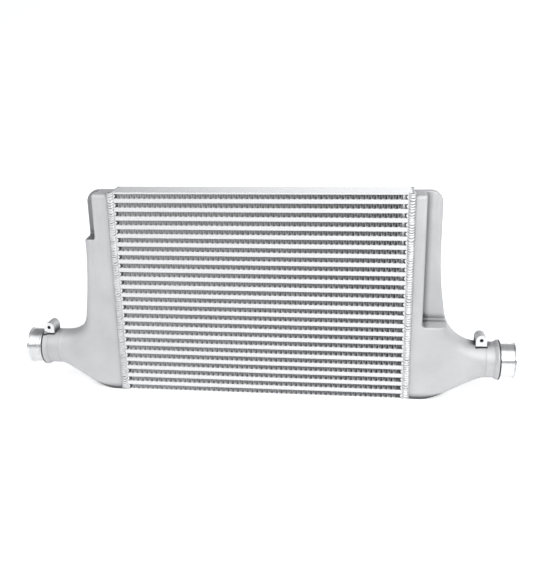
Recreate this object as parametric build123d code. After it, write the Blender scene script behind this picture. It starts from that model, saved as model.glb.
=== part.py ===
from build123d import *
from math import atan2, cos, degrees, radians, sin, tan
from typing import NamedTuple
import os

# An air-to-air intercooler.  A brazed bar-and-plate core stands between two
# cast end tanks, and each tank gathers the charge air into a round hose spigot.
# +Z is up and -Y is the face that the cooling air meets.  The origin is the
# middle of the footprint, on the underside of the core.  Lengths are in mm.

# ---------------------------------------------------------------- core values
fin_rows = 24  # rows open to the cooling air, one more than the charge-air tubes
fin_length = 530.0
fin_height = 8.4
fin_setback = 1.0  # the fins stop this far short of the core's faces
fin_sheet = 0.5
fin_folds = 20  # waves along a cooling fin
turbulator_folds = 6  # waves along the fin inside a charge-air tube
core_depth = 65.0
sheet_thickness = 0.8  # parting sheet between two rows
tube_height = 6.4
face_bar_depth = 6.0  # closing bar of a tube, front to back
end_bar_width = 10.0  # closing bar of a fin row, along the core
end_bar_nose = 3.0  # how far its pointed inner side stands into the row
plate_thickness = 3.0

# ----------------------------------------------------------------- tank values
tank_wall = 4.0
tank_drop = 3.2  # the tanks stop this far below the top of the core
tank_edge_radius = 8.0
shoulder_radius = 23.0  # top outer corner, seen from the front
wall_draft = 8.0  # the outer wall leans in by this much from the rear face to the front
wall_flare = 10.5  # outward lean of the wall's foot, above the sweep into the neck
wall_straight_height = 280.0  # the outer wall is upright from here to the top
recess_depth = 45.0
recess_edge_radius = 3.0
recess_root_radius = 5.0
foot_blend = 24.0  # half the length over which the foot turns up into the slope
foot_overrun = 4.0  # the form is drawn this far past the machined foot
joint_overrun = 30.0  # and this far past the face that meets the core
section_spacing = 10.0
touch = 0.01  # two places closer than this are taken as one

left_tank_width = 61.0  # from the end of the core to the outer wall, at the rear
left_block_width = 33.5
left_ledge_height = 303.0
left_sweep_radius = 45.0
left_neck_height = 77.0
left_foot_length = 45.0
left_underside_slope = 32.0
left_ear_gap = 2.0
left_neck_length = 101.0  # from the outer wall to the collar's outer face
left_spigot_length = 31.0
left_spigot_diameter = 66.5

right_tank_width = 57.0
right_block_width = 23.0
right_ledge_height = 144.0
right_sweep_radius = 62.0
right_neck_height = 73.0
right_foot_length = 48.0
right_underside_slope = 26.6
right_ear_gap = 24.5  # from the ear's outer side to the collar's outer face
right_neck_length = 110.5
right_spigot_length = 29.0
right_spigot_diameter = 63.5

# ------------------------------------------------------- neck and spigot values
neck_diameter = 68.0
underside_blend = 12.0  # half the length over which the underside turns level
collar_diameter = 75.0
collar_width = 4.5
collar_flare = 6.0  # length over which the neck widens into the collar
bore_diameter = 56.5
turning = 0.3  # taken off the cast neck on the lathe, outside and in the bore
bead_rise = 2.5  # how far the end bead stands proud of the spigot
bead_width = 4.5
bead_crown_width = 1.5
mouth_chamfer = 0.8

# -------------------------------------------------------------------- ear values
ear_width = 20.0
ear_height = 21.0
ear_depth = 30.0
ear_sink = 3.1  # its flat underside lies this far below the top of the neck
ear_hole_diameter = 6.8
ear_hole_height = 11.5  # above the ear's underside

# ------------------------------------------------------------------- weld values
weld_lap = 4.0  # how far the bead runs onto the tank
weld_crown = 1.8
weld_clearance = 0.5  # bare end bar between the bead and the fins
weld_root = 3.0

# ----------------------------------------------------------- worked-out places
half_depth = core_depth / 2
core_reach = fin_length / 2 + end_bar_width
row_pitch = fin_height + tube_height + 2 * sheet_thickness
tube_rows = fin_rows - 1
core_height = 2 * plate_thickness + fin_rows * fin_height
core_height += tube_rows * (tube_height + 2 * sheet_thickness)
tank_top = core_height - tank_drop
joint_line = core_reach - joint_overrun


def block(x_span, y_span, z_span):
    """A rectangular solid between two ends along each axis."""
    spans = (x_span, y_span, z_span)
    sizes = [high - low for low, high in spans]
    middles = [(high + low) / 2 for low, high in spans]
    return Pos(*middles) * Box(*sizes)


# -------------------------------------------------------------------- the core
def fin_floor(row):
    """Height of the underside of a fin row."""
    return plate_thickness + row * row_pitch


def tube_floor(row):
    """Height of the underside of a tube's lower parting sheet."""
    return fin_floor(row) + fin_height


def folded_sheet(length, height, depth, folds, floor):
    """A thin sheet folded into waves whose crests touch the sheets above and below."""
    step = length / (2 * folds)
    rise = height - fin_sheet
    under = [(step * i - length / 2, floor + rise * (i % 2)) for i in range(2 * folds + 1)]
    over = [(x, z + fin_sheet) for x, z in reversed(under)]
    outline = make_face(Polyline(*under, *over, close=True))
    return extrude(Plane.XZ * outline, depth / 2, both=True)


def cooling_fin(row):
    length = fin_length - 2 * end_bar_nose
    depth = core_depth - 2 * fin_setback
    return folded_sheet(length, fin_height, depth, fin_folds, fin_floor(row))


def turbulator(row):
    depth = core_depth - 2 * face_bar_depth
    floor = tube_floor(row) + sheet_thickness
    return folded_sheet(2 * core_reach, tube_height, depth, turbulator_folds, floor)


def parting_sheets():
    """Two sheets for each tube, over the whole of the core."""
    sheets = []
    for row in range(tube_rows):
        upper = tube_floor(row) + sheet_thickness + tube_height
        for floor in (tube_floor(row), upper):
            sheets.append(
                block(
                    (-core_reach, core_reach),
                    (-half_depth, half_depth),
                    (floor, floor + sheet_thickness),
                )
            )
    return Compound(children=sheets)


def face_bars(side):
    """The bars that close the tubes along the front (-1) or the rear (1) of the core."""
    edges = sorted((side * half_depth, side * (half_depth - face_bar_depth)))
    bars = []
    for row in range(tube_rows):
        floor = tube_floor(row) + sheet_thickness
        bars.append(block((-core_reach, core_reach), edges, (floor, floor + tube_height)))
    return Compound(children=bars)


def end_bars(side):
    """The nosed bars that close the fin rows at the left (-1) or the right (1) end."""
    outer = side * core_reach
    inner = side * (core_reach - end_bar_width)
    bars = []
    for row in range(fin_rows):
        low = fin_floor(row)
        high = low + fin_height
        nose = (inner - side * end_bar_nose, (low + high) / 2)
        outline = Polyline((outer, low), (inner, low), nose, (inner, high), (outer, high), close=True)
        bars.append(extrude(Plane.XZ * make_face(outline), half_depth, both=True))
    return Compound(children=bars)


def side_plate(floor):
    """The plain plate over the first or the last fin row."""
    span = (floor, floor + plate_thickness)
    return block((-core_reach, core_reach), (-half_depth, half_depth), span)


# -------------------------------------------------------------------- the tanks
class Tank(NamedTuple):
    """What differs between the two castings, measured outwards from the core."""

    width: float
    block_width: float
    ledge_height: float
    sweep_radius: float
    neck_height: float
    foot_length: float
    underside_slope: float
    ear_gap: float
    neck_length: float
    spigot_length: float
    spigot_diameter: float

    def reach(self):
        """The outer wall, from the middle of the core."""
        return core_reach + self.width

    def collar_reach(self):
        """The outer face of the collar, from the middle of the core."""
        return self.reach() + self.neck_length

    def spigot_reach(self):
        """The end of the spigot, from the middle of the core."""
        return self.collar_reach() + self.spigot_length


left_tank = Tank(
    left_tank_width,
    left_block_width,
    left_ledge_height,
    left_sweep_radius,
    left_neck_height,
    left_foot_length,
    left_underside_slope,
    left_ear_gap,
    left_neck_length,
    left_spigot_length,
    left_spigot_diameter,
)
right_tank = Tank(
    right_tank_width,
    right_block_width,
    right_ledge_height,
    right_sweep_radius,
    right_neck_height,
    right_foot_length,
    right_underside_slope,
    right_ear_gap,
    right_neck_length,
    right_spigot_length,
    right_spigot_diameter,
)


def neck_radius(inset):
    """Radius of the cast neck, or of its cored hole where the form is the hollow inside."""
    return bore_diameter / 2 - turning if inset else neck_diameter / 2


class Sweep:
    """The bend of a tank from its upright wall into its neck.

    Its sections lie on planes that fan out from the centre of the sweep, a line
    above the neck, so that each one stands square to the outer surface.
    """

    last_angle = 80.0  # where the sweep runs out into the flare of the wall

    def __init__(self, tank, inset):
        self.tank = tank
        self.inset = inset
        self.slope = radians(tank.underside_slope)
        radius = tank.sweep_radius
        lean = radians(self.last_angle)
        self.x = tank.reach() + wall_flare + radius * sin(lean)
        self.z = tank.neck_height + neck_diameter / 2 + radius
        self.foot_z = self.z - radius * cos(lean)
        bottom = tank.neck_height - neck_diameter / 2
        self.level_x = core_reach + tank.foot_length + bottom / tan(self.slope)
        self.neck_x = max(self.level_x, self.x) + underside_blend

    def wall_x(self, z):
        """The upright wall, which leans out towards its foot."""
        share = (z - self.foot_z) / (wall_straight_height - self.foot_z)
        return self.tank.reach() + wall_flare * (1 - share) ** 2 - self.inset

    def underside(self, x):
        """Height of the underside: a foot, a soft turn, a slope, a soft turn and the neck."""
        neck = self.tank.neck_height - neck_radius(self.inset)
        foot_x = core_reach + self.tank.foot_length
        if x > self.level_x + underside_blend:
            return neck
        if x > self.level_x - underside_blend:
            left = self.level_x + underside_blend - x
            return neck - tan(self.slope) * left**2 / (4 * underside_blend)
        lift = self.inset / cos(self.slope)
        if x > foot_x + foot_blend:
            return lift + tan(self.slope) * (x - foot_x)
        past = max(0, x - foot_x + foot_blend)
        turn = tan(self.slope) * past**2 / (4 * foot_blend)
        return lift + turn - foot_overrun * (1 - past / (2 * foot_blend))

    def inside(self, x, z):
        """Whether a point is inside the outline, which rounds its inner bottom corner."""
        radius = joint_overrun
        centre_z = radius - foot_overrun
        if x < core_reach and z < centre_z:
            return (x - core_reach) ** 2 + (z - centre_z) ** 2 < radius**2
        return x > joint_line and z > self.underside(x)

    def far_end(self, start, heading):
        """The last point on a line from start that is still inside the outline."""
        low, high = 0.0, 2 * core_height
        while high - low > touch**2:
            middle = (low + high) / 2
            if self.inside(start[0] + heading[0] * middle, start[1] + heading[1] * middle):
                low = middle
            else:
                high = middle
        return (start[0] + heading[0] * low, start[1] + heading[1] * low)

    def near_inset(self, angle):
        """The wall thickness: the neck's at the neck and the tank's above the sweep."""
        if not self.inset:
            return 0.0
        neck_wall = neck_radius(0.0) - neck_radius(self.inset)
        return neck_wall + (self.inset - neck_wall) * angle / self.last_angle

    def lines(self):
        """The near end and the far end of each section, from the neck to the upright wall."""
        found = []
        top = self.tank.neck_height + neck_radius(self.inset)
        for share in steps(self.neck_x - self.x)[:-1]:
            x = self.neck_x + share * (self.x - self.neck_x)
            found.append(((x, top), (x, self.underside(x))))
        for share in steps(radians(self.last_angle) * self.tank.sweep_radius):
            angle = radians(share * self.last_angle)
            heading = (-sin(angle), -cos(angle))
            reach = self.tank.sweep_radius + self.near_inset(degrees(angle))
            near = (self.x + reach * heading[0], self.z + reach * heading[1])
            found.append((near, self.far_end(near, heading)))
        climb = wall_straight_height - self.foot_z
        for share in steps(climb)[1:]:
            z = self.foot_z + share * climb
            found.append(((self.wall_x(z), z), (joint_line, z)))
        return found


def steps(length):
    """Even shares of a length, from 0 to 1, about one section spacing apart."""
    count = max(2, round(length / section_spacing))
    return [i / count for i in range(count + 1)]


def rounded_section(near, far, depth, near_radius, far_radius, draft):
    """A rounded section on the line from near to far, drafted on the near side."""
    run = Vector(far[0] - near[0], 0, far[1] - near[1])
    middle = Vector((far[0] + near[0]) / 2, 0, (far[1] + near[1]) / 2)
    half_length = run.length / 2
    half_width = depth / 2
    outline = FilletPolyline(
        (draft - half_length, -half_width),
        (half_length, -half_width),
        (half_length, half_width),
        (-half_length, half_width),
        radius=[near_radius, far_radius, far_radius, near_radius],
        close=True,
    )
    plane = Plane(origin=middle, x_dir=run, z_dir=run.cross(Vector(0, 1, 0)))
    return plane * make_face(outline)


def swept_body(tank, inset):
    """The lower tank, from the round neck to the upright wall, as one smooth loft."""
    flat = 0.2  # the straight piece that is left between two round corners
    sweep = Sweep(tank, inset)
    lines = sweep.lines()
    count = len(lines) - 1
    edge = max(tank_edge_radius - inset, flat)
    round_radius = neck_radius(inset) - flat
    sections = []
    for i, (near, far) in enumerate(lines):
        share = i / count
        depth = 2 * neck_radius(inset) if i == 0 else core_depth - 2 * inset
        largest = depth / 2 - flat
        near_radius = min(edge + (round_radius - edge) * (1 - share) ** 2, largest)
        far_radius = min(edge + (round_radius - edge) * max(0, 1 - 2 * share) ** 2, largest)
        draft = wall_draft * share
        sections.append(rounded_section(near, far, depth, near_radius, far_radius, draft))
    return loft(sections)


def upper_body(tank, inset):
    """The upper tank, upright, with one well-rounded shoulder at the top."""
    half = half_depth - inset
    wall = tank.reach() - inset
    top = tank_top - inset
    plan = Polyline(
        (joint_line, -half),
        (wall - wall_draft, -half),
        (wall, half),
        (joint_line, half),
        close=True,
    )
    body = extrude(Pos(0, 0, wall_straight_height) * make_face(plan), top - wall_straight_height)
    outer = [edge for edge in body.edges() if edge.center().X > wall - wall_draft - touch]
    shoulder = [edge for edge in outer if abs(edge.center().Z - top) < touch]
    body = fillet(shoulder, shoulder_radius - inset)
    faces = body.faces().sort_by(Axis.Y)
    rims = faces[0].edges() + faces[-1].edges()
    low, inner = wall_straight_height + touch, joint_line + touch
    rims = [edge for edge in rims if edge.center().Z > low and edge.center().X > inner]
    return fillet(rims, tank_edge_radius - inset)


def recess(tank, inset):
    """The step left free in front of the upper tank, down to the ledge, with rounded roots."""
    x_low = core_reach + tank.block_width - inset
    y_high = recess_depth - half_depth + inset
    z_low = tank.ledge_height - inset
    cut = block((x_low, 2 * tank.reach()), (-core_depth, y_high), (z_low, 2 * core_height))
    corner = Vector(x_low, y_high, z_low)
    roots = [edge for edge in cut.edges() if edge.distance_to(corner) < touch]
    return fillet(roots, recess_root_radius + inset)


def tank_form(tank, inset):
    """The tank or, with the wall as inset, the hollow inside it."""
    form = swept_body(tank, inset) + upper_body(tank, inset)
    end = 0.0 if inset else core_reach
    form &= block((end, 2 * tank.reach()), (-core_depth, core_depth), (inset, 2 * core_height))
    return form - recess(tank, inset)


def recess_edges(tank, body):
    """The upright edges beside the recess, which also run over the shoulder and the block."""
    step = core_reach + tank.block_width
    back = recess_depth - half_depth

    def belongs(edge):
        x, y, z = edge.center()
        on_limb = abs(y - back) < touch and x > step + touch
        on_block = abs(x - step) < touch and y < back - touch
        return z > tank.ledge_height + touch and (on_limb or on_block)

    return [edge for edge in body.edges() if belongs(edge)]


def neck(tank, start):
    """The round neck, its flared collar and the turned spigot with its end bead."""
    outer = neck_diameter / 2 - turning
    collar = collar_diameter / 2
    spigot = tank.spigot_diameter / 2
    bead = spigot + bead_rise
    collar_face = tank.collar_reach()
    flare_end = collar_face - collar_width
    end = tank.spigot_reach()
    crown = end - bead_width / 2
    profile = Polyline(
        (start, 0),
        (start, outer),
        (flare_end - collar_flare, outer),
        (flare_end, collar),
        (collar_face, collar),
        (collar_face, spigot),
        (end - bead_width, spigot),
        (crown - bead_crown_width / 2, bead),
        (crown + bead_crown_width / 2, bead),
        (end, spigot),
        (end, 0),
        close=True,
    )
    return Pos(0, 0, tank.neck_height) * revolve(Plane.XZ * make_face(profile), Axis.X)


def bore(tank, start):
    """The straight bore, eased at its mouth."""
    radius = bore_diameter / 2
    end = tank.spigot_reach()
    ease = end - mouth_chamfer
    profile = Polyline(
        (start, 0),
        (start, radius),
        (ease, radius),
        (end, radius + mouth_chamfer),
        (end, 0),
        close=True,
    )
    return Pos(0, 0, tank.neck_height) * revolve(Plane.XZ * make_face(profile), Axis.X)


def ear(tank):
    """A boss on top of the neck, flat below and round above, drilled front to back."""
    outer_side = tank.collar_reach() - tank.ear_gap
    middle = outer_side - ear_width / 2
    floor = tank.neck_height + neck_diameter / 2 - ear_sink
    crown = floor + ear_height - ear_width / 2
    body = block((middle - ear_width / 2, outer_side), (-ear_depth / 2, ear_depth / 2), (floor, crown))
    across = Rot(X=90)
    body += Pos(middle, 0, crown) * across * Cylinder(ear_width / 2, ear_depth)
    hole = Pos(middle, 0, floor + ear_hole_height) * across * Cylinder(ear_hole_diameter / 2, core_depth)
    return body - hole


def end_tank(tank):
    """One casting: the tank, its neck and its ear, machined at the spigot and the ear."""
    body = tank_form(tank, 0.0)
    body = fillet(recess_edges(tank, body), recess_edge_radius)
    start = Sweep(tank, 0.0).neck_x
    body += neck(tank, start) + ear(tank)
    hollow = tank_form(tank, tank_wall) + bore(tank, start)
    return body - hollow - root_wedge(weld_root)


# ------------------------------------------------------------------- the welds
def root_wedge(spread):
    """The bevel under the joint, which reaches past both of its faces by spread."""
    outline = Polyline(
        (core_reach - spread, -spread),
        (core_reach + weld_root + spread, -spread),
        (core_reach - spread, weld_root + spread),
        close=True,
    )
    return extrude(Plane.XZ * make_face(outline), half_depth, both=True)


def face_run(side):
    """A low bead over the end bars and the edge of the tank, on one face (-1 or 1)."""
    inner = fin_length / 2 + weld_clearance
    outer = core_reach + weld_lap
    level = side * half_depth
    crest = ThreePointArc(
        (inner, level),
        ((inner + outer) / 2, level + side * weld_crown),
        (outer, level),
    )
    outline = make_face([crest, Line((outer, level), (inner, level))])
    return extrude(outline, core_height, dir=(0, 0, 1))


def weld_bead():
    """The bead around the joint of the right tank: both faces, the top and the root."""
    low = tank_top - tank_edge_radius
    outer = core_reach + weld_lap
    top_outline = Polyline(
        (core_reach, low),
        (outer, low),
        (outer, tank_top + weld_crown),
        (core_reach + weld_crown, core_height),
        (core_reach, core_height),
        close=True,
    )
    top_run = extrude(Plane.XZ * make_face(top_outline), half_depth, both=True)
    top_run -= upper_body(right_tank, 0.0)
    return face_run(-1) + face_run(1) + top_run + root_wedge(0.0)


# ------------------------------------------------------------------ the output
def save(name, shape):
    export_step(shape, f"parts/{name}.step")


os.makedirs("parts", exist_ok=True)
right_casting = end_tank(right_tank)
left_casting = mirror(end_tank(left_tank), Plane.YZ)
bead = weld_bead()
save("right_end_tank", right_casting)
save("left_end_tank", left_casting)
save("right_weld_bead", bead)
save("left_weld_bead", mirror(bead, Plane.YZ))
save("bottom_plate", side_plate(0.0))
save("top_plate", side_plate(core_height - plate_thickness))
save("parting_sheets", parting_sheets())
save("front_bars", face_bars(-1))
save("rear_bars", face_bars(1))
save("left_end_bars", end_bars(-1))
save("right_end_bars", end_bars(1))
for number in range(fin_rows):
    save(f"cooling_fin_{number + 1:02d}", cooling_fin(number))
for number in range(tube_rows):
    save(f"turbulator_{number + 1:02d}", turbulator(number))
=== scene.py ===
from math import pi, radians, sin

import bpy
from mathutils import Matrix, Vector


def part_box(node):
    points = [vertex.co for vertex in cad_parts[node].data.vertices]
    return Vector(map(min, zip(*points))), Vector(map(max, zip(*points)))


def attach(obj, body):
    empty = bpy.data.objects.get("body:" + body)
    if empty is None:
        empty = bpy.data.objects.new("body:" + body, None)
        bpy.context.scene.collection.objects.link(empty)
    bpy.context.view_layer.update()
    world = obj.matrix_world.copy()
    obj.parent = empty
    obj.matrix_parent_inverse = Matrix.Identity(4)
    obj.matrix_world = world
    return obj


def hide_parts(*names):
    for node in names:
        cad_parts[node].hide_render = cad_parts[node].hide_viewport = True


# An air-to-air intercooler: a brazed bar-and-plate core between two cast end tanks.
# Everything is in metres.  +Z is up, and -Y is the face that the cooling air meets.

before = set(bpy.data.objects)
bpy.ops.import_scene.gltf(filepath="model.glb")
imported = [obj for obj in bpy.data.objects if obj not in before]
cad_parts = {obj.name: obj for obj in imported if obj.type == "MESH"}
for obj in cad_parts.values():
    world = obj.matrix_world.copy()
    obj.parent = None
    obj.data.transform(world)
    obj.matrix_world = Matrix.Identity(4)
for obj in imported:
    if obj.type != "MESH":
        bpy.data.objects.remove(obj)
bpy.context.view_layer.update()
MM = 0.001


# --------------------------------------------------------------------- cooling fins
# Thin aluminium foil, folded into waves and rolled into a herringbone, so that its
# channels swing from side to side from the front of the core to the rear.  A row lies
# loose between two tubes until the stack is brazed, which leaves the foil mottled.
FIN_WAVE = 9.5 * MM
FIN_FOIL = 0.3 * MM
FIN_CREST = 0.36  # share of a wave that lies flat against the tube, at each crest
FIN_STRIPS = 5
FIN_SWING = 4.4 * MM  # how far a channel runs sideways in one strip
FIN_SHADE_DEPTH = 7.0 * MM  # painted shade: deeper than this, the foil is painted darker, as the channels' shade
FIN_RIM = 0.5 * MM  # as bright as the face itself, down to here
FIN_MOTTLE = 7 * MM
FIN_GRAIN = 1.2 * MM
FIN_RELIEF = 0.05 * MM
FIN_MOTTLE_AND_SHADE_GREYS = (0.62, 0.84)
FIN_RIM_GREY = 0.97
FIN_ROUGH = (0.40, 0.55)


def grey(value):
    """The faintly cool grey of bare aluminium."""
    return (value * 0.995, value, value * 1.01, 1.0)


class Shader:
    """A node tree under construction: node() adds one and wires or sets its inputs."""

    def __init__(self, tree):
        self.tree = tree
        tree.nodes.clear()

    def node(self, kind, inputs=None, **settings):
        made = self.tree.nodes.new(kind)
        for key, value in settings.items():
            setattr(made, key, value)
        for key, value in (inputs or {}).items():
            self.feed(made.inputs[key], value)
        return made

    def feed(self, socket, value):
        if isinstance(value, bpy.types.NodeSocket):
            self.tree.links.new(value, socket)
        else:
            socket.default_value = value

    def math(self, operation, *values):
        return self.node("ShaderNodeMath", dict(enumerate(values)), operation=operation).outputs[0]

    def ramp(self, value, low, high, from_value=0.0, to_value=1.0):
        """A number that runs from from_value at low to to_value at high."""
        inputs = {"Value": value, 1: low, 2: high, 3: from_value, 4: to_value}
        return self.node("ShaderNodeMapRange", inputs).outputs[0]

    def vary(self, noise, low, high):
        """A number from low to high, over the range where most of a noise lies."""
        return self.ramp(noise, 0.3, 0.7, low, high)

    def blend(self, share, first, second):
        """A colour between two colours, which may be plain or linked."""
        inputs = {0: share, 6: first, 7: second}
        return self.node("ShaderNodeMix", inputs, data_type="RGBA").outputs[2]

    def place(self):
        """Where a point of the surface is, in the frame."""
        return self.node("ShaderNodeTexCoord").outputs["Object"]

    def apart(self, vector):
        """The X, Y and Z of a vector."""
        parts = self.node("ShaderNodeSeparateXYZ", {0: vector}).outputs
        return parts["X"], parts["Y"], parts["Z"]

    def noise(self, position, size, detail=2.0):
        """Soft random variation from 0 to 1 whose features are about size across."""
        inputs = {"Vector": position, "Scale": 1.0 / size, "Detail": detail}
        return self.node("ShaderNodeTexNoise", inputs).outputs["Fac"]

    def relief(self, height, depth, under=None):
        """A normal with that relief, depth metres from lowest to highest."""
        inputs = {"Height": height, "Distance": depth}
        if under is not None:
            inputs["Normal"] = under
        return self.node("ShaderNodeBump", inputs).outputs[0]

    def metal(self, colour, roughness, normal, metallic):
        inputs = {"Base Color": colour, "Roughness": roughness, "Metallic": metallic}
        inputs["Normal"] = normal
        surface = self.node("ShaderNodeBsdfPrincipled", inputs)
        self.node("ShaderNodeOutputMaterial", {"Surface": surface.outputs[0]})


def new_material(name):
    material = bpy.data.materials.new(name)
    material.use_nodes = True
    return material, Shader(material.node_tree)


def mesh_piece(name, points, faces, material, smooth=False):
    data = bpy.data.meshes.new(name)
    data.from_pydata(points, [], faces)
    data.materials.append(material)
    if smooth:
        data.shade_smooth()
    data.update()
    piece = bpy.data.objects.new(name, data)
    bpy.context.collection.objects.link(piece)
    return piece


def fin_foil():
    material, shader = new_material("fin_foil")
    position = shader.place()
    off_centre = shader.math("ABSOLUTE", shader.apart(position)[1])
    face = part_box("parting_sheets")[1][1]
    mottle = shader.noise(position, FIN_MOTTLE, 3.0)
    # Painted shade: the mottled foil inside is painted darker than its rim at the face, as the
    # shade in its channels.
    inside = shader.blend(mottle, grey(FIN_MOTTLE_AND_SHADE_GREYS[0]), grey(FIN_MOTTLE_AND_SHADE_GREYS[1]))
    rim = shader.ramp(off_centre, face - FIN_SHADE_DEPTH, face - FIN_RIM)
    colour = shader.blend(rim, inside, grey(FIN_RIM_GREY))
    relief = shader.relief(shader.noise(position, FIN_GRAIN), FIN_RELIEF)
    shader.metal(colour, shader.vary(mottle, *FIN_ROUGH), relief, metallic=0.35)
    return material


def wave_line(length, height):
    """The outline of a foil with flat crests, from one end to the other, as (x, z)."""
    flank = (1 - 2 * FIN_CREST) / 2
    rise = FIN_CREST + flank
    corners = ((0.0, 0.0), (FIN_CREST, 0.0), (rise, 1.0), (rise + FIN_CREST, 1.0))
    waves = round(length / FIN_WAVE)
    line = []
    for wave in range(waves):
        for share, level in corners:
            line.append(((wave + share) * length / waves, level * height))
    return line


def fin_row(node, material):
    """A row of folded foil in a herringbone, in the space of its plain CAD sheet."""
    low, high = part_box(node)
    height = high[2] - low[2] - FIN_FOIL
    depth = (high[1] - low[1]) / FIN_STRIPS
    line = wave_line(high[0] - low[0] - FIN_SWING, height)
    points = []
    faces = []
    for strip in range(FIN_STRIPS + 1):
        y = low[1] + strip * depth
        swing = FIN_SWING * (strip % 2)
        for x, z in line:
            points.append((low[0] + x + swing, y, low[2] + z))
            points.append((low[0] + x + swing, y, low[2] + z + FIN_FOIL))
    row = 2 * len(line)
    for strip in range(FIN_STRIPS):
        for i in range(len(line) - 1):
            a = strip * row + 2 * i
            faces.append((a, a + row, a + row + 2, a + 2))
            faces.append((a + 1, a + 3, a + row + 3, a + row + 1))
    for i in range(len(line) - 1):
        a = 2 * i
        b = FIN_STRIPS * row + 2 * i
        faces.append((a, a + 2, a + 3, a + 1))
        faces.append((b, b + 1, b + 3, b + 2))
    piece = mesh_piece(f"{node}_foil", points, faces, material)
    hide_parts(node)
    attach(piece, "root")


foil = fin_foil()
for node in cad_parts:
    if node.startswith("cooling_fin"):
        fin_row(node, foil)


# ---------------------------------------------------------------------- turbulators
# The same foil in a coarser fold, inside each tube.  It carries the charge air's heat
# to the tube walls and ties them together, and shows only through the ports.
def dress(node, material):
    """Gives a CAD node one material, all over."""
    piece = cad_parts[node]
    piece.data.materials.clear()
    piece.data.materials.append(material)


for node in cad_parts:
    if node.startswith("turbulator"):
        dress(node, foil)


# ------------------------------------------------------------------- parting sheets
# Rolled aluminium sheet, clad with brazing alloy, which closes each tube above and
# below.  Only its thin edges show between the bars and the fin rows.  The plain plates
# over the first and the last fin row are rolled in the same way.
ROLLED_LINE = 1.5 * MM
ROLLED_LENGTH = 15 * MM
ROLLED_RELIEF = 0.04 * MM
ROLLED_ROUGH = (0.18, 0.26)
CLAD_GREYS = (0.66, 0.76)
PLATE_GREYS = (0.88, 0.94)


def streaks(shader, position, size, length, axis=0):
    """Fine lines along an axis, size apart and length long."""
    scale = [size / length if i == axis else 1.0 for i in range(3)]
    drawn = shader.node("ShaderNodeMapping", {"Vector": position, "Scale": scale})
    return shader.noise(drawn.outputs[0], size, 3.0)


def rolled_aluminium(name, greys):
    material, shader = new_material(name)
    lines = streaks(shader, shader.place(), ROLLED_LINE, ROLLED_LENGTH)
    colour = shader.blend(lines, grey(greys[0]), grey(greys[1]))
    relief = shader.relief(lines, ROLLED_RELIEF)
    shader.metal(colour, shader.vary(lines, *ROLLED_ROUGH), relief, metallic=0.9)
    return material


dress("parting_sheets", rolled_aluminium("clad_sheet", CLAD_GREYS))
plate = rolled_aluminium("rolled_plate", PLATE_GREYS)
dress("top_plate", plate)
dress("bottom_plate", plate)


# ------------------------------------------------------------------------ core bars
# Drawn aluminium bars that close the tubes along both faces of the core, and shorter
# nosed ones that close the fin rows at its ends.  They are brazed to the sheets, and
# the drawing leaves fine bright lines along them.
DRAWN_LINE = 0.8 * MM
DRAWN_LENGTH = 16 * MM
BAR_RELIEF = 0.05 * MM
BAR_GREYS = (0.90, 0.96)
BAR_ROUGH = (0.40, 0.50)


def drawn_bar():
    material, shader = new_material("drawn_bar")
    lines = streaks(shader, shader.place(), DRAWN_LINE, DRAWN_LENGTH)
    colour = shader.blend(lines, grey(BAR_GREYS[0]), grey(BAR_GREYS[1]))
    relief = shader.relief(lines, BAR_RELIEF)
    shader.metal(colour, shader.vary(lines, *BAR_ROUGH), relief, metallic=0.7)
    return material


bar = drawn_bar()
for node in ("front_bars", "rear_bars", "left_end_bars", "right_end_bars"):
    dress(node, bar)


# ------------------------------------------------------------------------ end tanks
# Sand-cast aluminium, lightly blasted.  Each is turned bright where the hose goes,
# with fine grip rings on the left one, and its ear is faced off front and rear.  Inner
# corners, the left recess and the roots of the ears and collars are painted dark as shade.
LEFT_SPIGOT = 31 * MM
RIGHT_SPIGOT = 29 * MM
LEFT_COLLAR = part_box("left_end_tank")[0][0] + LEFT_SPIGOT  # X where the spigot meets its collar
RIGHT_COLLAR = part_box("right_end_tank")[1][0] - RIGHT_SPIGOT
GRIP_RING = 3.6 * MM
GRIP_DEPTH = 0.45 * MM
TOOL_LINE = 0.35 * MM
TOOL_DEPTH = 0.012 * MM
LEFT_EAR = -425 * MM
RIGHT_EAR = 408 * MM
EAR_HALF_WIDTH = 11.5 * MM
EAR_FACE = 15 * MM  # from the middle of the part, to the front and to the rear
EAR_FACE_SLACK = 0.3 * MM
EAR_ROOT_SLACK = 0.4 * MM
EAR_INSIDE = 390 * MM  # nothing else is that far out and above the ear's floor
LEFT_EAR_FLOOR = 108.2 * MM
RIGHT_EAR_FLOOR = 104.2 * MM
ROOT_SHADOW_LINE = 2.6 * MM  # painted shadow: a dark line at the root of each ear face and each collar
LEFT_STEP = -309 * MM  # the left recess lies outside this, above its ledge
LEFT_LEDGE = 302.5 * MM
RECESS_BACK = 14 * MM
CORNER_SHADE = 16 * MM
OPEN_SKY = 0.97  # share of its sky that a point sees where shade starts, and where it is full
DEEP_SKY = 0.62
CAST_PATCH = 45 * MM
CAST_GRAIN = 0.9 * MM
CAST_RELIEF = 0.22 * MM
FILE_MARK = 3 * MM  # upright marks, where the top of the casting is dressed with a file
FILE_MARK_LENGTH = 60 * MM
FILED_FROM = 150 * MM
FILED_FULLY = 350 * MM
MARK_SPREAD = (0.50, 0.80)  # the part of the noise where marks, and grains, come up
GRAIN_SPREAD = (0.35, 0.75)
FILED_SHARE = 0.5
RECESS_SHADE_SHARE = 0.65
SKIN_GREYS = (0.57, 0.68)
GRAIN_GREY = 0.74
FILED_GREY = 0.84
RECESS_SHADE_GREY = 0.16
CORNER_SHADE_GREY = 0.12
ROOT_SHADOW_GREY = 0.05
MACHINED_GREY = 0.93
CAST_ROUGH = (0.50, 0.62)
MACHINED_SMOOTHER = 0.33
CAST_METALLIC = (0.60, 0.95)  # of the casting skin, and where it is machined


def all_of(shader, *shares):
    """The product of shares: 1 where every one of them is 1."""
    product = shares[0]
    for share in shares[1:]:
        product = shader.math("MULTIPLY", product, share)
    return product


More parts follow.
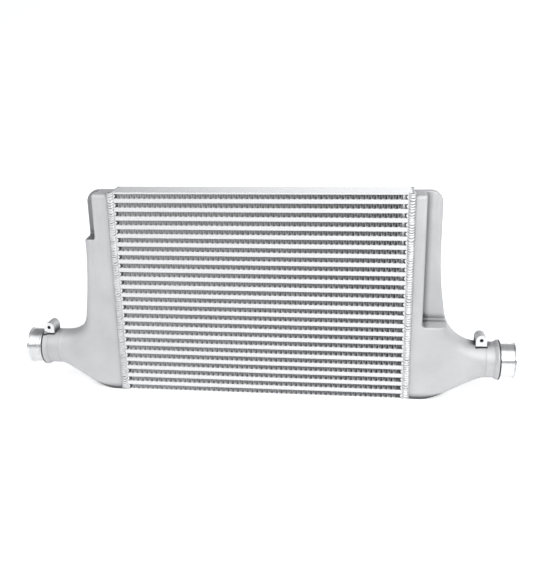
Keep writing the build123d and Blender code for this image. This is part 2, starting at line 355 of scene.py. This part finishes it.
def any_of(shader, *shares):
    """The largest of shares: 1 where at least one of them is 1."""
    largest = shares[0]
    for share in shares[1:]:
        largest = shader.math("MAXIMUM", largest, share)
    return largest


def crevice(shader, reach):
    """1 deep in an inner corner or under an overhang, where shade is painted, and 0 on open faces.
    """
    sky = shader.node("ShaderNodeAmbientOcclusion", {"Distance": reach}, samples=8)
    return shader.ramp(sky.outputs["AO"], OPEN_SKY, DEEP_SKY)


def ear_faces(shader, x, y, ear_z):
    """The two faces of each ear, milled level front and rear."""
    outside = shader.math("GREATER_THAN", shader.math("ABSOLUTE", x), EAR_INSIDE)
    above = shader.math("GREATER_THAN", ear_z, RIGHT_EAR_FLOOR)
    level = shader.math("COMPARE", shader.math("ABSOLUTE", y), EAR_FACE, EAR_FACE_SLACK)
    return all_of(shader, outside, above, level)


def root_shadow_lines(shader, x, y, ear_z):
    """Painted shadow: the dark lines beside each spigot and under each ear face."""
    half = ROOT_SHADOW_LINE / 2
    at_left = shader.math("COMPARE", x, LEFT_COLLAR + half, half)
    at_right = shader.math("COMPARE", x, RIGHT_COLLAR - half, half)
    left_ear = shader.math("COMPARE", x, LEFT_EAR, EAR_HALF_WIDTH)
    right_ear = shader.math("COMPARE", x, RIGHT_EAR, EAR_HALF_WIDTH)
    at_ear = any_of(shader, left_ear, right_ear)
    just_under = shader.math("COMPARE", ear_z, RIGHT_EAR_FLOOR - half, half)
    off_centre = shader.math("ABSOLUTE", y)
    outermost = shader.math("GREATER_THAN", off_centre, EAR_FACE - EAR_ROOT_SLACK)
    return any_of(shader, at_left, at_right, all_of(shader, at_ear, just_under, outermost))


def left_recess(shader, x, y, z):
    """All that lies in the left recess, down to its back."""
    outside = shader.math("LESS_THAN", x, LEFT_STEP)
    above = shader.math("GREATER_THAN", z, LEFT_LEDGE)
    before = shader.math("LESS_THAN", y, RECESS_BACK)
    return all_of(shader, outside, above, before)


def skin_and_shade(shader, position, grain, root_shadows):
    """The colour of the casting where no tool but a file has touched it, and its painted shade."""
    x, y, z = shader.apart(position)
    patches = shader.vary(shader.noise(position, CAST_PATCH, 3.0), 0.0, 1.0)
    upright = streaks(shader, position, FILE_MARK, FILE_MARK_LENGTH, axis=2)
    marks = shader.ramp(upright, *MARK_SPREAD)
    filed = all_of(shader, marks, shader.ramp(z, FILED_FROM, FILED_FULLY, 0.0, FILED_SHARE))
    # Painted shade: the left recess is painted dark grey, as the shade cast by its step.
    shaded = all_of(shader, left_recess(shader, x, y, z), RECESS_SHADE_SHARE)
    skin = shader.blend(patches, grey(SKIN_GREYS[0]), grey(SKIN_GREYS[1]))
    skin = shader.blend(shader.ramp(grain, *GRAIN_SPREAD), skin, grey(GRAIN_GREY))
    skin = shader.blend(filed, skin, grey(FILED_GREY))
    skin = shader.blend(shaded, skin, grey(RECESS_SHADE_GREY))
    # Painted shade: inner corners and overhangs are painted darker, as the shade that falls in
    # them.
    skin = shader.blend(crevice(shader, CORNER_SHADE), skin, grey(CORNER_SHADE_GREY))
    # Painted shadow: near-black lines at the roots of the ear faces and the collars.
    return shader.blend(root_shadows, skin, grey(ROOT_SHADOW_GREY))


def cast_aluminium():
    material, shader = new_material("cast_aluminium")
    position = shader.place()
    x, y, z = shader.apart(position)
    left_rise = LEFT_EAR_FLOOR - RIGHT_EAR_FLOOR
    rise = shader.math("MULTIPLY", shader.math("LESS_THAN", x, 0.0), left_rise)
    ear_z = shader.math("SUBTRACT", z, rise)  # the left ear's Z is brought down to the right one's

    grip = shader.math("LESS_THAN", x, LEFT_COLLAR)
    turned = any_of(shader, grip, shader.math("GREATER_THAN", x, RIGHT_COLLAR))
    machined = any_of(shader, turned, ear_faces(shader, x, y, ear_z))
    grain = shader.noise(position, CAST_GRAIN, 4.0)
    skin = skin_and_shade(shader, position, grain, root_shadow_lines(shader, x, y, ear_z))
    colour = shader.blend(machined, skin, grey(MACHINED_GREY))
    smoother = shader.math("MULTIPLY", machined, MACHINED_SMOOTHER)
    rough = shader.math("SUBTRACT", shader.vary(grain, *CAST_ROUGH), smoother)

    unmachined = shader.math("SUBTRACT", 1.0, machined)
    pitted = shader.relief(all_of(shader, grain, unmachined), CAST_RELIEF)
    rings = shader.math("SINE", shader.math("MULTIPLY", x, 2 * pi / GRIP_RING))
    grooved = shader.relief(all_of(shader, rings, grip), GRIP_DEPTH, pitted)
    lines = shader.math("SINE", shader.math("MULTIPLY", x, 2 * pi / TOOL_LINE))
    normal = shader.relief(all_of(shader, lines, turned), TOOL_DEPTH, grooved)
    metallic = shader.ramp(machined, 0.0, 1.0, *CAST_METALLIC)
    shader.metal(colour, rough, normal, metallic)
    return material


cast = cast_aluminium()
dress("left_end_tank", cast)
dress("right_end_tank", cast)


# ---------------------------------------------------------------------- weld beads
# The tanks are welded to the core by hand, all round: up the front, over the top, down
# the rear and under the foot.  Each dab of filler leaves a crescent with dark smut in the
# valley after it, and the bead wanders a little.
WELD_RIPPLE = 4.7 * MM  # from one crescent to the next
WELD_SAG = 3.5 * MM  # how far the middle of a crescent runs ahead of its ends
WELD_HEIGHT = 1.7 * MM  # of a crescent, on top of the plain bead
WELD_SHARPNESS = 0.6  # under 1, the valleys between crescents are sharp
WELD_CROWN = 2.5  # over 2, the bead is flat on top and steep at its sides
WELD_END = 2 * MM  # length over which a run rises from nothing
WELD_WANDER = 1.5 * MM
LONG_SWING = 9 * MM
SHORT_SWING = 3.7 * MM
DRIFT_LEAD = 200 * MM  # the drift aside is this far ahead of the one along, so they differ
WELD_COLUMNS = 10
WELD_ROWS = 8  # for each crescent
WELD_BACK = 0.4 * MM  # how far its back lies under the surface
TOP_LAP = 2.5 * MM  # how far the top run reaches onto the plate
TOP_FLATTER = 3  # the top run has a third of the others' crown, and crescents half as high
TOP_PLAINER = 2
FOOT_WIDTH = 3 * MM
WELD_PATCH = 8 * MM
WELD_GRAIN = 0.9 * MM
WELD_RELIEF = 0.08 * MM
WELD_GREYS = (0.72, 0.92)
SMUT_GREY = 0.16
SMUT_SPREAD = (0.35, 0.60)  # the part of the noise where smut comes up, and the least of it
LEAST_SMUT = 0.1
VALLEY_SPREAD = (0.15, 0.80)  # how deep in a valley it starts, and where it is full
WELD_ROUGH = (0.30, 0.42)


def weld_metal():
    material, shader = new_material("weld_metal")
    position = shader.place()
    patches = shader.noise(position, WELD_PATCH, 4.0)
    valley = shader.node("ShaderNodeAttribute", attribute_name="valley").outputs["Fac"]
    sooty = shader.ramp(patches, *SMUT_SPREAD, LEAST_SMUT, 1.0)
    smut = all_of(shader, shader.ramp(valley, *VALLEY_SPREAD), sooty)
    clean = shader.blend(patches, grey(WELD_GREYS[0]), grey(WELD_GREYS[1]))
    colour = shader.blend(smut, clean, grey(SMUT_GREY))
    relief = shader.relief(shader.noise(position, WELD_GRAIN, 3.0), WELD_RELIEF)
    shader.metal(colour, shader.vary(patches, *WELD_ROUGH), relief, metallic=0.8)
    return material


def wander(s):
    """A slow, uneven swing between -1 and 1."""
    return 0.6 * sin(s / LONG_SWING) + 0.4 * sin(s / SHORT_SWING + 1.3)


class WeldMesh:
    """The runs of weld round one tank, with how deep in a valley each point lies."""

    def __init__(self):
        self.points = []
        self.faces = []
        self.valleys = []

    def run(self, start, along, across, out, length, width, crown, ripple):
        """A run on a flat strip: a crowned top with crescents and a flat back."""
        rows = max(2, round(length / WELD_RIPPLE * WELD_ROWS))
        first = len(self.points)

        def add(s, aside, height, valley):
            axes = zip(start, along, across, out)
            self.points.append([at + a * s + b * aside + c * height for at, a, b, c in axes])
            self.valleys.append(valley)

        for i in range(rows + 1):
            s = length * i / rows
            ends = min(1.0, s / WELD_END, (length - s) / WELD_END) ** 0.5
            for j in range(WELD_COLUMNS + 1):
                t = 2 * j / WELD_COLUMNS - 1
                phase = (s - WELD_SAG * t * t + WELD_WANDER * wander(s)) / WELD_RIPPLE
                swell = abs(sin(pi * phase))
                bead = crown + ripple * swell**WELD_SHARPNESS
                height = bead * (1 - abs(t) ** WELD_CROWN) * ends
                drift = WELD_WANDER * wander(s + DRIFT_LEAD) * (1 - abs(t))
                add(s, width * (t + 1) / 2 + drift, height, 1 - swell)
            add(s, width, -WELD_BACK, 0.0)
            add(s, 0.0, -WELD_BACK, 0.0)
        self.skin(first, rows, WELD_COLUMNS + 3)

    def skin(self, first, rows, ring):
        """Faces round and between the rings of points, and a cap at each end."""
        for i in range(rows):
            for j in range(ring):
                a = first + i * ring + j
                b = first + i * ring + (j + 1) % ring
                self.faces.append((a, b, b + ring, a + ring))
        last = first + rows * ring
        self.faces.append(tuple(range(first, first + ring)))
        self.faces.append(tuple(range(last, last + ring))[::-1])


def weld_bead(node, tank, side, material):
    """The four runs round the joint of one tank: front, rear, top and foot."""
    low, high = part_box(node)
    core_low, core_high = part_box("parting_sheets")
    plate_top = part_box("top_plate")[1][2]
    tank_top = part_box(tank)[1][2]
    crown = core_low[1] - low[1]
    inner, outer = sorted((low[0], high[0]), key=abs)
    width = abs(outer - inner)
    depth = core_high[1] - core_low[1]
    joint = core_high[0] * side
    mesh = WeldMesh()
    up, rearward, away = (0, 0, 1), (0, 1, 0), (side, 0, 0)
    for face in (-1, 1):
        start = (inner, face * depth / 2, 0.0)
        mesh.run(start, up, away, (0, face, 0), plate_top, width, crown, WELD_HEIGHT)

    top_start = (joint - side * TOP_LAP, -depth / 2, plate_top)
    reach = abs(outer - top_start[0])
    fall = plate_top - tank_top
    span = (reach**2 + fall**2) ** 0.5
    down = (side * reach / span, 0, -fall / span)
    lean = (side * fall / span, 0, reach / span)
    top_crown = crown / TOP_FLATTER
    top_ripple = WELD_HEIGHT / TOP_PLAINER
    mesh.run(top_start, rearward, down, lean, depth, span, top_crown, top_ripple)

    foot_start = (joint, -depth / 2, 0.0)
    mesh.run(foot_start, rearward, away, (0, 0, -1), depth, FOOT_WIDTH, 0.0, 0.0)

    piece = mesh_piece(f"{node}_runs", mesh.points, mesh.faces, material, smooth=True)
    valleys = piece.data.attributes.new("valley", "FLOAT", "POINT")
    valleys.data.foreach_set("value", mesh.valleys)
    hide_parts(node)
    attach(piece, "root")


weld = weld_metal()
weld_bead("left_weld_bead", "left_end_tank", -1, weld)
weld_bead("right_weld_bead", "right_end_tank", 1, weld)


# ---------------------------------------------------------------------------- floor
# A plain white sheet under the part.  It is lifted to the white of the backdrop for
# the camera and for mirrored rays alone, so the contact shadow stays.
FLOOR_REACH = 12.0  # from the middle of the part
FLOOR_GREY = 0.88
FLOOR_LIFT = 0.56
MIRRORED_LIFT = 0.30


def white_floor():
    material, shader = new_material("white_floor")
    matt = shader.node("ShaderNodeBsdfDiffuse", {"Color": grey(FLOOR_GREY)})
    path = shader.node("ShaderNodeLightPath").outputs
    seen = shader.math("MULTIPLY", path["Is Camera Ray"], FLOOR_LIFT)
    mirrored = shader.math("MULTIPLY", path["Is Glossy Ray"], MIRRORED_LIFT)
    glow = shader.node("ShaderNodeEmission", {"Strength": any_of(shader, seen, mirrored)})
    surface = shader.node("ShaderNodeAddShader", {0: matt.outputs[0], 1: glow.outputs[0]})
    shader.node("ShaderNodeOutputMaterial", {"Surface": surface.outputs[0]})
    return material


corners = []
for x, y in ((-1, -1), (1, -1), (1, 1), (-1, 1)):
    corners.append((FLOOR_REACH * x, FLOOR_REACH * y, 0.0))
floor = mesh_piece("floor", corners, [(0, 1, 2, 3)], white_floor())


# --------------------------------------------------------------------- studio light
# A bright front, a dim ceiling to the rear, and a low rear wall that is paler and
# taller to the right.  A dark gap in the front at eye level shows as a band in turned
# metal.  The key light stands in front, to the right, and shines down on the part.
FRONT_LOW = 1.08
FRONT_HIGH = 1.58
LEFT_SHARE = 0.95  # of the front light, far to the left
LEFT_CEILING = 0.12
RIGHT_CEILING = 0.36
LEFT_WALL = 1.05
RIGHT_WALL = 1.22
WALL_TILT = 0.4  # how much the top of the wall climbs to the right
LEFT_GAP = 0.40  # share of the front light that is left in the gap
RIGHT_GAP = 0.10
GAP_LEVEL = 0.12
KEY_POWER = 14
KEY_PLACE = (0.7, -1.9, 1.3)
KEY_TURN = (60, 0, 20)
KEY_SIZE = (1.2, 1.0)

# X, Y or Z of a heading, where a change of light starts and where it is complete.
SIDE_FADE = (-0.45, 0.20)  # X, from the left values to the right ones
LEFT_FADE = (-0.7, 0.3)  # X, from LEFT_SHARE of the front light to all of it
FRONT_FADE = (0.05, -0.25)  # Y, from none of the front light to all of it
HIGH_FADE = (0.4, 0.9)  # Z, from FRONT_LOW to FRONT_HIGH
REAR_FADE = (-0.2, 0.1)  # Y, from none of the rear light to all of it
WALL_TOP = (0.40, 0.22)  # Z, from above the rear wall to the wall itself
GAP_EDGE = (0.18, 0.26)  # Z from GAP_LEVEL, from the dark gap to the front light


def light_world():
    """The light of the room, by the heading that it comes from; the backdrop is white."""
    world = bpy.data.worlds.new("studio")
    bpy.context.scene.world = world
    world.use_nodes = True
    shader = Shader(world.node_tree)
    heading = shader.node("ShaderNodeTexCoord").outputs["Generated"]
    x, y, z = shader.apart(heading)

    wall = shader.ramp(x, *SIDE_FADE, LEFT_WALL, RIGHT_WALL)
    ceiling = shader.ramp(x, *SIDE_FADE, LEFT_CEILING, RIGHT_CEILING)
    height = shader.math("SUBTRACT", z, shader.math("MULTIPLY", x, WALL_TILT))
    low = all_of(shader, wall, shader.ramp(height, *WALL_TOP))
    rear = all_of(shader, any_of(shader, low, ceiling), shader.ramp(y, *REAR_FADE))

    sideways = shader.ramp(x, *LEFT_FADE, LEFT_SHARE, 1.0)
    upward = shader.ramp(z, *HIGH_FADE, FRONT_LOW, FRONT_HIGH)
    from_gap = shader.math("ABSOLUTE", shader.math("SUBTRACT", z, GAP_LEVEL))
    dark = shader.ramp(x, *SIDE_FADE, LEFT_GAP, RIGHT_GAP)
    gap = shader.ramp(from_gap, *GAP_EDGE, dark, 1.0)
    front = all_of(shader, shader.ramp(y, *FRONT_FADE), sideways, upward, gap)

    seen = shader.node("ShaderNodeLightPath").outputs["Is Camera Ray"]
    strength = any_of(shader, rear, front, seen)
    background = shader.node("ShaderNodeBackground", {"Color": grey(1.0), "Strength": strength})
    shader.node("ShaderNodeOutputWorld", {"Surface": background.outputs[0]})


def soft_box(name, place, turn, size, power):
    """A large soft light that shines along its own -Z, turned by degrees."""
    data = bpy.data.lights.new(name, "AREA")
    data.shape = "RECTANGLE"
    data.size = size[0]
    data.size_y = size[1]
    data.energy = power
    light = bpy.data.objects.new(name, data)
    light.location = place
    light.rotation_euler = [radians(angle) for angle in turn]
    bpy.context.collection.objects.link(light)


light_world()
soft_box("key", KEY_PLACE, KEY_TURN, KEY_SIZE, KEY_POWER)


# --------------------------------------------------------------------------- camera
# Slightly above the part and to the right of its middle, about 1.4 m away, turned a
# little to the left and rolled by a degree.
CAMERA_PLACE = (0.1870, -1.3129, 0.6113)
CAMERA_TURN = (73.05, 1.10, 7.11)  # degrees about X, Y and Z
CAMERA_LENS = 46.05
SENSOR_WIDTH = 36.0
CAMERA_REACH = 50.0

data = bpy.data.cameras.new("camera")
data.lens = CAMERA_LENS
data.sensor_width = SENSOR_WIDTH
data.clip_end = CAMERA_REACH
camera = bpy.data.objects.new("camera", data)
camera.location = CAMERA_PLACE
camera.rotation_euler = [radians(angle) for angle in CAMERA_TURN]
bpy.context.collection.objects.link(camera)
bpy.context.scene.camera = camera
bpy.context.scene.view_settings.view_transform = "Standard"
